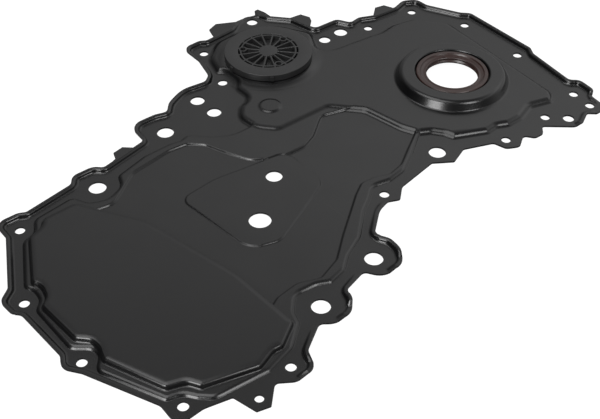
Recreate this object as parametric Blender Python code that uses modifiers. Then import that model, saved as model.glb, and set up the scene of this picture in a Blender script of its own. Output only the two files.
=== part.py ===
"""Timing cover: one pressed steel sheet with its crank seal and its access plug.

Metres, +Z up. The mating face is down, the outer side is up, +Y runs from the crank end to the cam end.
Plan places are in millimetres from the crank axis; the whole part is then centred on its footprint.
Run: blender --background --python part.py
"""

import math

import bmesh
import bpy
import numpy as np
from mathutils import Matrix, Vector
from mathutils.geometry import delaunay_2d_cdt

MM = 0.001

# Sheet and its bends, in mm. Heights are of the outer face above the flange's outer face.
SHEET = 1.5
WALL_ANGLE = math.radians(72)
CREST_RADIUS = 3.0
FOOT_RADIUS = 2.0
SHALLOW_RADIUS = 1.5
LEDGE_RADIUS = 1.8
RIM_RADIUS = 2.0
RIM_LIP = 1.2
RIM_HEIGHT = 3.0
LEDGE_HEIGHT = 1.5
POCKET_HEIGHT = 0.4
MIDDLE_SINK = 0.4
TRIANGLE_HEIGHT = 1.2
CAM_HEIGHT = 8.0
CRANK_HEIGHT = 4.0
ARC_STEP = math.radians(60)

# Crank seal, a 40 x 56 x 8 shaft seal, and the raised boss that holds it.
CRANK = (0.0, 0.0)
SEAL_OUTER = 56.0
SHAFT_BORE = SEAL_OUTER - 16.0
SEAL_WIDTH = 8.0
SEAL_INSET = 0.6
BOSS_FOOT_RADIUS = 45.5
BOSS_HEIGHT = 6.0
BOSS_ANGLE = math.radians(60)
BOSS_CREST_RADIUS = 4.5
COLLAR_DEPTH = 8.5
COLLAR_CREST_RADIUS = 1.2
COLLAR_ANGLE = math.radians(86)
SPRING_WIRE = 1.6
CLEARANCE = 0.3

# Access plug and its seat.
PLUG = (108.5, 98.0)
PLUG_DIAMETER = 70.0
PLUG_HEIGHT = 5.6
PLUG_SPIGOT = PLUG_DIAMETER - 18.0
PLUG_SPIGOT_DEPTH = 5.0
PLUG_FIELD = PLUG_DIAMETER - 22.0
PLUG_HUB = 15.0
PLUG_RING_WALL = 1.3
PLUG_SLOT = 1.5
PLUG_RIB_WALL = 1.3
PLUG_RIBS = 16
PLUG_POCKET_DEPTH = 4.0
PLUG_SOCKETS = 3
PLUG_SOCKET_RADIUS = 20.3
PLUG_SOCKET_HOLE = 4.4
PLUG_SOCKET_WALL = 6.6
PLUG_SOCKET_TURN = math.radians(48)
PLUG_TONGUES = (math.radians(91), math.radians(149))
PLUG_TONGUE_REACH = 1.2
PLUG_TONGUE_WIDTH = 3.0
PLUG_WALL = 2.0
PLUG_EDGE = 0.6
PLUG_LUGS = 3
PLUG_LUG_REACH = 3.0
PLUG_LUG_ANGLE = math.radians(24)
PLUG_SEAT_RADIUS = 39.5
PLUG_SEAT_HEIGHT = 0.6
O_RING_WIRE = 2.6

# Round bump on the crank plateau.
BUMP = (55.5, 134.5)
BUMP_RADIUS = 10.0
BUMP_HEIGHT = 1.0
BUMP_BEND = 4.0

# Bolt holes: x, y, diameter.
HOLES = [
    (46.5, 347.0, 7.0),
    (-16.0, 375.0, 7.0),
    (-80.0, 369.5, 7.0),
    (-143.5, 339.0, 7.0),
    (-165.0, 301.0, 5.8),
    (-157.0, 272.5, 7.0),
    (-129.0, 228.5, 12.6),
    (-116.0, 175.0, 12.6),
    (-71.5, 128.5, 7.0),
    (-59.0, 68.0, 12.6),
    (-78.5, 18.0, 7.0),
    (-76.5, -25.0, 7.0),
    (-88.0, -38.0, 8.4),
    (-86.5, -63.0, 7.0),
    (-69.0, -64.0, 7.0),
    (-5.0, -67.5, 7.0),
    (53.0, -64.0, 7.0),
    (95.0, -42.0, 7.0),
    (98.0, 3.5, 7.0),
    (107.0, 25.5, 11.0),
    (106.0, 43.0, 9.5),
    (163.5, 75.5, 9.0),
    (148.5, 133.5, 7.0),
    (106.0, 144.0, 7.5),
    (98.0, 172.5, 11.0),
    (78.0, 170.5, 11.0),
    (79.0, 213.0, 12.6),
    (54.0, 284.0, 12.6),
    (-42.5, 213.5, 15.6),
    (-11.0, 179.0, 12.0),
]

# Trimmed edge of the sheet, anticlockwise: x, y, corner radius, share of the rim's height.
EDGE = [
    (-153.5, 349.0, 10, 0),
    (-151.5, 330.5, 15, 0),
    (-155.0, 312.5, 1.5, 0),
    (-171.5, 307.5, 1, 0),
    (-173.5, 298.5, 1, 0),
    (-161.0, 287.0, 3, 0),
    (-167.5, 276.5, 9, 0),
    (-168.0, 261.5, 9, 0.6),
    (-155.0, 258.5, 8, 1),
    (-139.5, 238.0, 4, 0),
    (-145.0, 230.5, 12, 0),
    (-145.5, 217.0, 14, 0.4),
    (-137.0, 209.5, 12, 1),
    (-129.0, 208.0, 5, 0.8),
    (-121.0, 188.0, 4, 0),
    (-131.5, 180.5, 12, 0),
    (-132.5, 163.5, 14, 0.6),
    (-121.0, 156.5, 14, 1),
    (-110.0, 156.0, 10, 1),
    (-104.5, 159.5, 4, 1),
    (-99.0, 160.0, 5, 0.8),
    (-82.5, 142.0, 20, 0.2),
    (-78.5, 131.5, 4, 0),
    (-82.0, 123.0, 2.5, 0),
    (-72.5, 113.0, 6, 0),
    (-65.5, 79.0, 2, 0),
    (-74.0, 65.0, 2, 0),
    (-67.5, 50.0, 3, 0),
    (-75.5, 27.5, 4, 0),
    (-85.5, 24.5, 5, 0),
    (-90.0, 15.0, 5, 0),
    (-82.5, 4.0, 3, 0),
    (-89.5, -1.5, 4, 0),
    (-89.5, -9.5, 4, 0),
    (-82.5, -15.5, 2.5, 0),
    (-97.5, -34.5, 8, 0),
    (-99.0, -41.5, 6, 0.4),
    (-93.5, -52.0, 3, 0.6),
    (-96.5, -60.5, 4, 0),
    (-96.0, -72.5, 9, 0),
    (-80.5, -71.5, 3, 0.4),
    (-77.0, -77.5, 7, 1),
    (-61.5, -78.5, 7, 1),
    (-56.5, -72.0, 5, 1),
    (-14.0, -76.0, 6, 1),
    (-7.0, -80.0, 6, 1),
    (60.5, -77.5, 6, 1),
    (66.5, -71.0, 8, 1),
    (92.5, -56.5, 8, 1),
    (104.5, -55.5, 8, 1),
    (110.0, -44.5, 8, 1),
    (106.0, -32.5, 3, 1),
    (107.0, -10.0, 4, 1),
    (112.0, 2.5, 8, 1),
    (110.0, 12.5, 4, 1),
    (121.0, 19.0, 6, 1),
    (121.0, 41.5, 5, 1),
    (144.5, 47.5, 6, 1),
    (159.0, 61.5, 5, 1),
    (167.5, 65.0, 5, 0.5),
    (173.5, 74.5, 8, 0),
    (170.0, 87.5, 8, 0.5),
    (162.5, 97.0, 8, 1),
    (159.5, 123.5, 5, 1),
    (162.5, 128.5, 6, 1),
    (161.5, 146.0, 10, 1),
    (141.0, 143.5, 8, 0.6),
    (120.0, 148.0, 12, 0.6),
    (112.0, 155.5, 6, 1),
    (114.0, 176.5, 25, 1),
    (105.5, 193.5, 20, 1),
    (96.5, 200.5, 4, 1),
    (99.0, 210.0, 12, 1),
    (98.5, 232.0, 16, 1),
    (77.0, 232.5, 4, 1),
    (67.5, 271.0, 4, 1),
    (73.0, 277.0, 11, 1),
    (72.5, 293.5, 11, 1),
    (65.0, 298.5, 5, 1),
    (57.5, 336.5, 4, 1),
    (60.0, 341.5, 8, 1),
    (59.5, 359.0, 10.5, 1),
    (43.0, 358.5, 5, 1),
    (-1.0, 378.5, 5, 1),
    (-8.5, 387.5, 8, 1),
    (-22.0, 386.0, 8, 1),
    (-25.0, 381.5, 5, 0.8),
    (-68.0, 377.5, 6, 0.4),
    (-78.0, 382.0, 8, 0.4),
    (-87.5, 373.5, 6, 0.2),
    (-135.0, 349.0, 7, 0),
]

# Small flat tabs left by the press tool, outside the rim, each from edge to edge.
TABS = [
    [(69.0, 264.0), (71.0, 259.5), (77.5, 257.5), (79.5, 249.0), (74.0, 242.5), (72.0, 246.0)],
    [(105.0, -31.0), (114.0, -27.0), (115.5, -18.5), (107.5, -10.0), (105.0, -12.0)],
    [(126.5, 44.5), (128.0, 41.0), (132.0, 37.0), (137.0, 35.0), (145.0, 38.5), (146.0, 52.0)],
    [(158.0, 60.5), (167.5, 59.5), (175.0, 61.5), (175.5, 64.5), (167.5, 69.5), (162.0, 68.0)],
    [(158.5, 91.0), (164.0, 86.5), (170.0, 87.0), (175.4, 104.0), (171.5, 113.0), (157.0, 116.5)],
]

# Feet of the raised and sunk panels, anticlockwise: x, y, corner radius.
LEDGE = [
    (-153.5, 284.0, 8),
    (-151.5, 322.0, 8),
    (-143.5, 328.5, 8),
    (-135.5, 333.5, 8),
    (-134.0, 342.5, 5),
    (-90.5, 364.5, 8),
    (-81.5, 359.0, 9),
    (-75.0, 361.0, 9),
    (-67.5, 371.0, 8),
    (-26.0, 373.0, 9),
    (-20.5, 366.5, 9),
    (-11.0, 366.0, 9),
    (-5.0, 370.0, 9),
    (35.0, 351.0, 9),
    (38.0, 341.0, 9),
    (50.0, 335.5, 9),
    (55.0, 303.0, 6),
    (43.0, 297.0, 10),
    (38.5, 284.5, 12),
    (44.5, 271.0, 10),
    (56.0, 267.0, 6),
    (64.0, 240.0, 10),
    (65.0, 218.0, 10),
    (63.5, 210.0, 5),
    (66.5, 202.0, 6),
    (54.5, 190.0, 20),
    (46.5, 176.0, 20),
    (47.5, 140.0, 5),
    (30.0, 70.0, 5),
    (-41.0, 66.0, 5),
    (-51.0, 84.0, 20),
    (-62.0, 101.0, 12),
    (-64.5, 116.0, 8),
    (-62.0, 130.0, 8),
    (-70.0, 139.0, 10),
    (-77.5, 150.0, 15),
    (-96.0, 169.0, 15),
    (-105.0, 186.0, 15),
    (-114.5, 197.0, 10),
    (-118.0, 211.0, 6),
    (-114.0, 220.5, 9),
    (-113.0, 235.5, 9),
    (-124.0, 244.5, 9),
    (-133.0, 247.0, 6),
    (-147.0, 263.0, 10),
]
POCKET = [
    (-118.0, 262.0, 5),
    (-109.0, 246.0, 8),
    (-106.5, 229.0, 10),
    (-112.0, 214.0, 8),
    (-104.5, 195.0, 12),
    (-88.5, 177.0, 30),
    (-62.0, 144.5, 20),
    (-55.0, 134.0, 6),
    (-55.5, 124.0, 6),
    (-59.5, 112.0, 8),
    (-56.0, 98.0, 15),
    (-45.0, 82.0, 20),
    (-36.0, 60.0, 5),
    (14.0, 60.0, 5),
    (26.0, 110.0, 10),
    (10.0, 129.5, 12),
    (4.0, 142.0, 15),
    (4.0, 164.0, 12),
    (14.0, 181.0, 15),
    (32.0, 190.5, 20),
    (48.5, 197.5, 12),
    (57.5, 208.0, 10),
    (58.5, 224.0, 20),
    (52.5, 258.0, 12),
    (42.0, 271.5, 12),
    (32.0, 284.5, 12),
    (36.0, 310.0, 5),
    (-60.0, 300.0, 5),
]
MIDDLE = [
    (-41.0, 171.5, 6),
    (-60.0, 167.5, 10),
    (-90.0, 164.5, 4),
    (-72.0, 120.0, 4),
    (-50.0, 50.0, 4),
    (40.0, 50.0, 4),
    (12.0, 176.0, 4),
]
TRIANGLE = [
    (-62.0, 235.5, 16),
    (8.5, 246.0, 9),
    (12.5, 215.0, 30),
    (6.5, 154.5, 12),
    (-37.0, 153.5, 14),
    (-68.0, 214.0, 14),
]
CAM_PLATEAU = [
    (-133.0, 251.5, 6),
    (-148.5, 284.0, 14),
    (-140.5, 326.5, 4),
    (-131.5, 331.5, 8),
    (-126.0, 341.5, 6),
    (-90.0, 359.0, 8),
    (-84.5, 355.5, 9),
    (-74.0, 355.5, 9),
    (-65.5, 366.5, 9),
    (-27.5, 369.0, 9),
    (-21.0, 361.0, 9),
    (-12.0, 360.5, 9),
    (-6.0, 365.5, 9),
    (33.0, 346.5, 9),
    (38.0, 336.0, 9),
    (44.5, 332.0, 8),
    (46.0, 305.0, 8),
    (30.0, 295.0, 25),
    (1.0, 275.0, 40),
    (-78.0, 254.5, 60),
]
CRANK_PLATEAU = [
    (-60.0, 51.0, 6),
    (-50.0, 58.0, 5),
    (-45.0, 61.5, 5),
    (-41.0, 68.5, 5),
    (-24.0, 75.5, 25),
    (8.0, 82.0, 8),
    (27.0, 100.5, 4),
    (26.0, 147.0, 12),
    (40.0, 160.5, 20),
    (60.0, 163.0, 16),
    (72.0, 153.5, 12),
    (76.0, 142.5, 8),
    (92.0, 143.5, 7),
    (98.5, 137.0, 7),
    (113.0, 137.5, 8),
    (118.0, 143.5, 6),
    (138.0, 138.0, 20),
    (155.5, 119.0, 25),
    (158.0, 91.0, 25),
    (146.0, 61.0, 20),
    (119.0, 45.0, 12),
    (104.0, 51.5, 7),
    (96.0, 55.0, 7),
    (90.5, 47.0, 10),
    (88.0, 10.0, 12),
    (86.5, 1.0, 10),
    (89.5, -14.0, 12),
    (86.0, -36.0, 12),
    (62.0, -55.5, 10),
    (30.0, -55.0, 20),
    (-60.0, -52.5, 14),
    (-71.5, -43.0, 6),
    (-71.5, -34.0, 5),
    (-67.0, -23.0, 6),
    (-72.0, -7.0, 6),
    (-72.5, 7.0, 6),
    (-68.5, 14.0, 5),
    (-70.0, 23.0, 6),
]

BLACK_STEEL = (0.010, 0.010, 0.011, 1)
PLUG_PLASTIC = (0.020, 0.020, 0.021, 1)
SEAL_RUBBER = (0.030, 0.014, 0.010, 1)
SPRING_STEEL = (0.45, 0.45, 0.46, 1)
O_RING_RUBBER = (0.012, 0.012, 0.012, 1)

ROUND_SIDES = 36
SCREW_STEPS = 36
WIRE_SIDES = 6


def bend_slope(height, foot, crest, angle):
    """Slope of a bent step's wall, less than the given angle where the step is too low for it."""
    if height >= (foot + crest) * (1 - math.cos(angle)):
        return angle
    return math.acos(1 - height / (foot + crest))


def bend_run(height, foot, crest, angle):
    """Plan width of a bent step: an arc, a straight wall and an arc."""
    slope = bend_slope(height, foot, crest, angle)
    straight = (height - (foot + crest) * (1 - math.cos(slope))) / math.sin(slope)
    return (foot + crest) * math.sin(slope) + straight * math.cos(slope)


def bend_rows(height, foot, crest, angle):
    """Distances inside the foot at which a bent step needs a row of points."""
    slope = bend_slope(height, foot, crest, angle)
    run = bend_run(height, foot, crest, angle)
    if slope < angle:
        return [0, foot * math.sin(slope), run]
    return [0, foot * math.sin(slope), run - crest * math.sin(slope), run]


def bend(distance, height, foot, crest, angle):
    """Height of a bent step at a distance inside its foot."""
    slope = bend_slope(height, foot, crest, angle)
    run = bend_run(height, foot, crest, angle)
    d = np.clip(distance, 0, run)
    low = foot - np.sqrt(foot**2 - np.minimum(d, foot * math.sin(slope)) ** 2)
    high = height - crest + np.sqrt(crest**2 - np.minimum(run - d, crest * math.sin(slope)) ** 2)
    straight = foot * (1 - math.cos(slope)) + (d - foot * math.sin(slope)) * math.tan(slope)
    upper = np.where(d > run - crest * math.sin(slope), high, straight)
    return np.where(d < foot * math.sin(slope), low, upper)


def rounded(corners):
    """Points of a closed outline with round corners, each with the last value of its corner."""
    x, y = np.array(corners)[:, :2].T
    if np.roll(x, 1) @ y < np.roll(y, 1) @ x:
        corners = corners[::-1]
    points = []
    for i, corner in enumerate(corners):
        here = Vector(corner[:2])
        back = Vector(corners[i - 1][:2]) - here
        ahead = Vector(corners[(i + 1) % len(corners)][:2]) - here
        half = back.angle(ahead) / 2
        reach = min(corner[2] / math.tan(half), 0.48 * back.length, 0.48 * ahead.length)
        middle = here + (back.normalized() + ahead.normalized()).normalized() * reach / math.cos(half)
        spoke = here + back.normalized() * reach - middle
        turn = math.copysign(math.pi - 2 * half, back.x * -ahead.y + back.y * ahead.x)
        steps = max(1, math.ceil(abs(turn) / ARC_STEP))
        for k in range(steps + 1):
            a = turn * k / steps
            x = middle.x + spoke.x * math.cos(a) - spoke.y * math.sin(a)
            y = middle.y + spoke.x * math.sin(a) + spoke.y * math.cos(a)
            points.append((x, y, corner[-1]))
    return np.array(points)


def circle(centre, radius, sides=ROUND_SIDES):
    """Points of a circle."""
    a = np.arange(sides) * 2 * math.pi / sides
    return np.stack([centre[0] + radius * np.cos(a), centre[1] + radius * np.sin(a)], 1)


def nearest(points, outline):
    """Distance of each point inside a closed outline, less than 0 outside, and the outline's value there."""
    best = np.full(len(points), np.inf)
    value = np.zeros(len(points))
    inside = np.zeros(len(points), bool)
    for a, b in zip(outline, np.roll(outline, -1, axis=0)):
        along = b[:2] - a[:2]
        t = np.clip((points - a[:2]) @ along / max(along @ along, 1e-12), 0, 1)
        gap = np.hypot(*(points - a[:2] - t[:, None] * along).T)
        value = np.where(gap < best, a[-1] + t * (b[-1] - a[-1]), value)
        best = np.minimum(best, gap)
        if a[1] != b[1]:
            spans = (a[1] > points[:, 1]) != (b[1] > points[:, 1])
            inside ^= spans & (points[:, 0] < a[0] + (points[:, 1] - a[1]) * along[0] / (b[1] - a[1]))
    return np.where(inside, best, -best), value


def inset(outline, distance):
    """Points that lie a distance inside an outline, left out where its bends are too tight for them."""
    if distance == 0:
        return outline[:, :2]
    places = outline[:, :2]
    ahead = np.roll(places, -1, axis=0) - places
    ahead /= np.maximum(np.hypot(*ahead.T), 1e-9)[:, None]
    normal = np.stack([-ahead[:, 1], ahead[:, 0]], 1)
    both = normal + np.roll(normal, 1, axis=0)
    both /= np.maximum(np.hypot(*both.T), 1e-9)[:, None]
    stretch = 1 / np.maximum((both * normal).sum(1), 0.5)
    moved = places + both * (distance * stretch)[:, None]
    return moved[nearest(moved, outline)[0] > 0.93 * distance]


def panels():
    """Each panel's foot, height, rise from its surroundings and bend; a later one covers an earlier one."""
    wall = (FOOT_RADIUS, CREST_RADIUS, WALL_ANGLE)
    shallow = (SHALLOW_RADIUS, SHALLOW_RADIUS, WALL_ANGLE)
    ledge = (LEDGE_RADIUS, LEDGE_RADIUS, WALL_ANGLE)
    return [
        (rounded(LEDGE), LEDGE_HEIGHT, LEDGE_HEIGHT, ledge),
        (rounded(POCKET), POCKET_HEIGHT, LEDGE_HEIGHT - POCKET_HEIGHT, shallow),
        (rounded(TRIANGLE), TRIANGLE_HEIGHT, TRIANGLE_HEIGHT - POCKET_HEIGHT, shallow),
        (rounded(CAM_PLATEAU), CAM_HEIGHT, CAM_HEIGHT, wall),
        (rounded(CRANK_PLATEAU), CRANK_HEIGHT, CRANK_HEIGHT, wall),
    ]


RIM_BEND = (RIM_HEIGHT, RIM_RADIUS, RIM_RADIUS, WALL_ANGLE)
BOSS_BEND = (BOSS_HEIGHT, FOOT_RADIUS, BOSS_CREST_RADIUS, BOSS_ANGLE)
COLLAR_BEND = (COLLAR_DEPTH, CLEARANCE, COLLAR_CREST_RADIUS, COLLAR_ANGLE)
MIDDLE_BEND = (MIDDLE_SINK, SHALLOW_RADIUS, SHALLOW_RADIUS, WALL_ANGLE)
SEAT_BEND = (PLUG_SEAT_HEIGHT, LEDGE_RADIUS, LEDGE_RADIUS, WALL_ANGLE)
BUMP_BENDS = (BUMP_HEIGHT, BUMP_BEND, BUMP_BEND, WALL_ANGLE)
COLLAR_RADIUS = SEAL_OUTER / 2 + CLEARANCE
PLUG_HOLE_RADIUS = PLUG_SPIGOT / 2 + CLEARANCE


def sheet_height(points, edge, parts):
    """Height of the sheet's outer face above the flange's outer face."""
    z = np.zeros(len(points))
    sunk = bend(nearest(points, rounded(MIDDLE))[0], *MIDDLE_BEND)
    for outline, top, rise, shape in parts:
        level = top - sunk * (top == POCKET_HEIGHT)
        z += (level - z) * bend(nearest(points, outline)[0], rise, *shape) / rise
    inside, share = nearest(points, edge)
    z += share * bend(bend_run(*RIM_BEND) + RIM_LIP - inside, *RIM_BEND)
    from_crank = np.hypot(*(points - CRANK).T)
    z += bend(BOSS_FOOT_RADIUS - from_crank, *BOSS_BEND)
    z -= COLLAR_DEPTH - bend(from_crank - COLLAR_RADIUS, *COLLAR_BEND)
    z += bend(PLUG_SEAT_RADIUS - np.hypot(*(points - PLUG).T), *SEAT_BEND)
    return z + bend(BUMP_RADIUS - np.hypot(*(points - BUMP).T), *BUMP_BENDS)


def plug_hole():
    """Outline of the plug's hole, with a slot that lets each bayonet lug through."""
    angles = np.arange(72) * 2 * math.pi / 72
    in_slot = np.zeros(72, bool)
    for k in range(PLUG_LUGS):
        middle = (k + 0.5) * 2 * math.pi / PLUG_LUGS
        in_slot |= abs(angles - middle) < PLUG_LUG_ANGLE / 2 + math.radians(3)
    radius = PLUG_HOLE_RADIUS + in_slot * PLUG_LUG_REACH
    return np.stack([PLUG[0] + radius * np.cos(angles), PLUG[1] + radius * np.sin(angles)], 1)


def sheet_lines(edge, parts):
    """Closed lines of points that the sheet's triangles follow, the cut-outs first."""
    cuts = [circle((x, y), d / 2, 14 if d > 8 else 10) for x, y, d in HOLES]
    cuts += [circle(CRANK, COLLAR_RADIUS), plug_hole()]
    lines = [np.array(tab) for tab in TABS]
    rim = bend_rows(*RIM_BEND)
    lines += [inset(edge, d) for d in [0] + [RIM_LIP + d for d in (rim[0], rim[-2], rim[-1])]]
    for outline, _, rise, shape in parts:
        lines += [inset(outline, d) for d in bend_rows(rise, *shape)]
    lines += [inset(rounded(MIDDLE), d) for d in bend_rows(*MIDDLE_BEND)]
    lines += [circle(CRANK, BOSS_FOOT_RADIUS - d) for d in bend_rows(*BOSS_BEND)]
    lines += [circle(CRANK, COLLAR_RADIUS + d) for d in bend_rows(*COLLAR_BEND)[1:]]
    lines += [circle(PLUG, PLUG_SEAT_RADIUS - d) for d in bend_rows(*SEAT_BEND)]
    lines += [circle(BUMP, BUMP_RADIUS - d, 24) for d in bend_rows(*BUMP_BENDS)]
    return cuts, lines


def pressed_sheet():
    """The sheet: triangles between the lines, raised to their heights, then given the sheet's thickness."""
    edge = rounded(EDGE)
    parts = panels()
    cuts, lines = sheet_lines(edge, parts)
    points = []
    edges = []
    for line in cuts + lines:
        first = len(points)
        points += [Vector(p) for p in line]
        edges += [(first + k, first + (k + 1) % len(line)) for k in range(len(line))]
    verts, _, faces, *_ = delaunay_2d_cdt(points, edges, [], 0, 0.05, False)
    verts = np.array(verts)
    faces = np.array(faces)
    middle = verts[faces].mean(1)
    keep = nearest(middle, edge)[0] > 0
    for tab in TABS:
        keep |= nearest(middle, np.array(tab))[0] > 0
    for cut in cuts:
        keep &= nearest(middle, cut)[0] < 0
    z = SHEET + sheet_height(verts, edge, parts)
    mesh = bpy.data.meshes.new("cover_pressing")
    mesh.from_pydata([(x * MM, y * MM, h * MM) for (x, y), h in zip(verts, z)], [], faces[keep].tolist())
    cover = add_object("cover_pressing", mesh, material("black_coated_steel", BLACK_STEEL, 0.38, 0.0))
    shape = bmesh.new()
    shape.from_mesh(mesh)
    bmesh.ops.delete(shape, geom=[v for v in shape.verts if not v.link_faces], context="VERTS")
    for side in shape.edges:
        side.smooth = side.smooth and not side.is_boundary
    shape.to_mesh(mesh)
    shape.free()
    solid = cover.modifiers.new("sheet", "SOLIDIFY")
    solid.thickness = SHEET * MM
    solid.offset = -1
    solid.use_even_offset = True
    return cover


def material(name, colour, roughness, metallic):
    made = bpy.data.materials.new(name)
    made.use_nodes = True
    shader = made.node_tree.nodes["Principled BSDF"]
    shader.inputs["Base Color"].default_value = colour
    shader.inputs["Roughness"].default_value = roughness
    shader.inputs["Metallic"].default_value = metallic
    made.diffuse_color = colour
    return made


def add_object(name, mesh, surface, place=(0, 0, 0)):
    """Adds a mesh as one of the part's pieces, placed in mm."""
    piece = bpy.data.objects.new(name, mesh)
    piece.location = Vector(place) * MM
    mesh.materials.append(surface)
    mesh.shade_smooth()
    mesh.set_sharp_from_angle(angle=math.radians(30))
    bpy.data.collections["timing_cover"].objects.link(piece)
    return piece


def turned(name, profile, surface, place, closed=True):
    """A turned piece: a profile of radius and height in mm, down its outer side, with a Screw modifier."""
    mesh = bpy.data.meshes.new(name)
    count = len(profile)
    edges = [(k, (k + 1) % count) for k in range(count if closed else count - 1)]
    mesh.from_pydata([(r * MM, 0, z * MM) for r, z in profile], edges, [])
    piece = add_object(name, mesh, surface, place)
    turn = piece.modifiers.new("turn", "SCREW")
    turn.steps = SCREW_STEPS
    turn.render_steps = SCREW_STEPS
    turn.use_merge_vertices = True
    turn.merge_threshold = 0.00002
    turn.use_smooth_shade = True
    return piece


def wire_ring(name, radius, wire, surface, place):
    """A ring of round wire."""
    bpy.ops.mesh.primitive_torus_add(
        major_radius=radius * MM,
        minor_radius=wire / 2 * MM,
        major_segments=SCREW_STEPS,
        minor_segments=WIRE_SIDES,
    )
    made = bpy.context.object
    mesh = made.data
    mesh.name = name
    bpy.data.objects.remove(made)
    return add_object(name, mesh, surface, place)


def crank_seal(surface, spring_surface):
    """The shaft seal: a rubber-covered case, a dust lip outside, and a sealing lip with its garter spring."""
    outer = SEAL_OUTER / 2
    bore = SHAFT_BORE / 2
    top = SEAL_WIDTH
    spring = bore + 2.15 + SPRING_WIRE / 2
    profile = [
        (outer - 3.0, top),
        (outer - 0.5, top),
        (outer, top - 0.5),
        (outer, 0.5),
        (outer - 0.5, 0),
        (outer - 1.7, 0),
        (outer - 2.2, 0.6),
        (outer - 2.2, top - 3.2),
        (outer - 2.8, top - 2.8),
        (spring + 0.4, top - 3.0),
        (bore + 1.9, top - 3.7),
        (bore + 1.85, 2.0),
        (bore + 1.7, 1.5),
        (bore + 0.9, 1.6),
        (bore, 3.0),
        (bore + 1.1, 4.6),
        (bore, top - 1.8),
        (bore + 0.6, top - 1.2),
        (bore + 2.4, top - 1.7),
        (outer - 3.6, top - 1.1),
    ]
    place = (*CRANK, SHEET + CRANK_HEIGHT + BOSS_HEIGHT - SEAL_INSET - SEAL_WIDTH)
    turned("crank_seal", profile, surface, place)
    low = (place[0], place[1], place[2] + 2.9)
    wire_ring("seal_garter_spring", spring, SPRING_WIRE, spring_surface, low)


def ring_sector(shape, inner, outer, start, end, low, high, steps):
    """Adds a closed prism between two radii and two angles to a bmesh."""
    angles = [start + (end - start) * k / steps for k in range(steps + 1)]
    outline = [(outer * math.cos(a), outer * math.sin(a)) for a in angles]
    outline += [(inner * math.cos(a), inner * math.sin(a)) for a in reversed(angles)]
    bottom = [shape.verts.new((x * MM, y * MM, low * MM)) for x, y in outline]
    top = [shape.verts.new((x * MM, y * MM, high * MM)) for x, y in outline]
    for k in range(len(outline)):
        n = (k + 1) % len(outline)
        shape.faces.new((bottom[k], bottom[n], top[n], top[k]))
    shape.faces.new(top)
    shape.faces.new(bottom[::-1])


def helper(name, shape):
    """Makes a Boolean's helper object from a bmesh, left out of renders and of the build."""
    mesh = bpy.data.meshes.new(name)
    shape.to_mesh(mesh)
    shape.free()
    made = bpy.data.objects.new(name, mesh)
    made.hide_render = True
    made.display_type = "WIRE"
    bpy.data.collections["cutters"].objects.link(made)
    return made


def boolean(piece, other, operation):
    change = piece.modifiers.new(other.name, "BOOLEAN")
    change.operation = operation
    change.object = other
    change.solver = "EXACT"


def plug_sockets(name, radius, low, high):
    """Round posts at the places of the plug's three drive sockets."""
    shape = bmesh.new()
    for k in range(PLUG_SOCKETS):
        a = PLUG_SOCKET_TURN + k * 2 * math.pi / PLUG_SOCKETS
        place = Vector((math.cos(a) * PLUG_SOCKET_RADIUS, math.sin(a) * PLUG_SOCKET_RADIUS, (low + high) / 2))
        bmesh.ops.create_cone(
            shape,
            cap_ends=True,
            segments=10,
            radius1=radius * MM,
            radius2=radius * MM,
            depth=(high - low) * MM,
            matrix=Matrix.Translation(place * MM),
        )
    return helper(name, shape)


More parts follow.
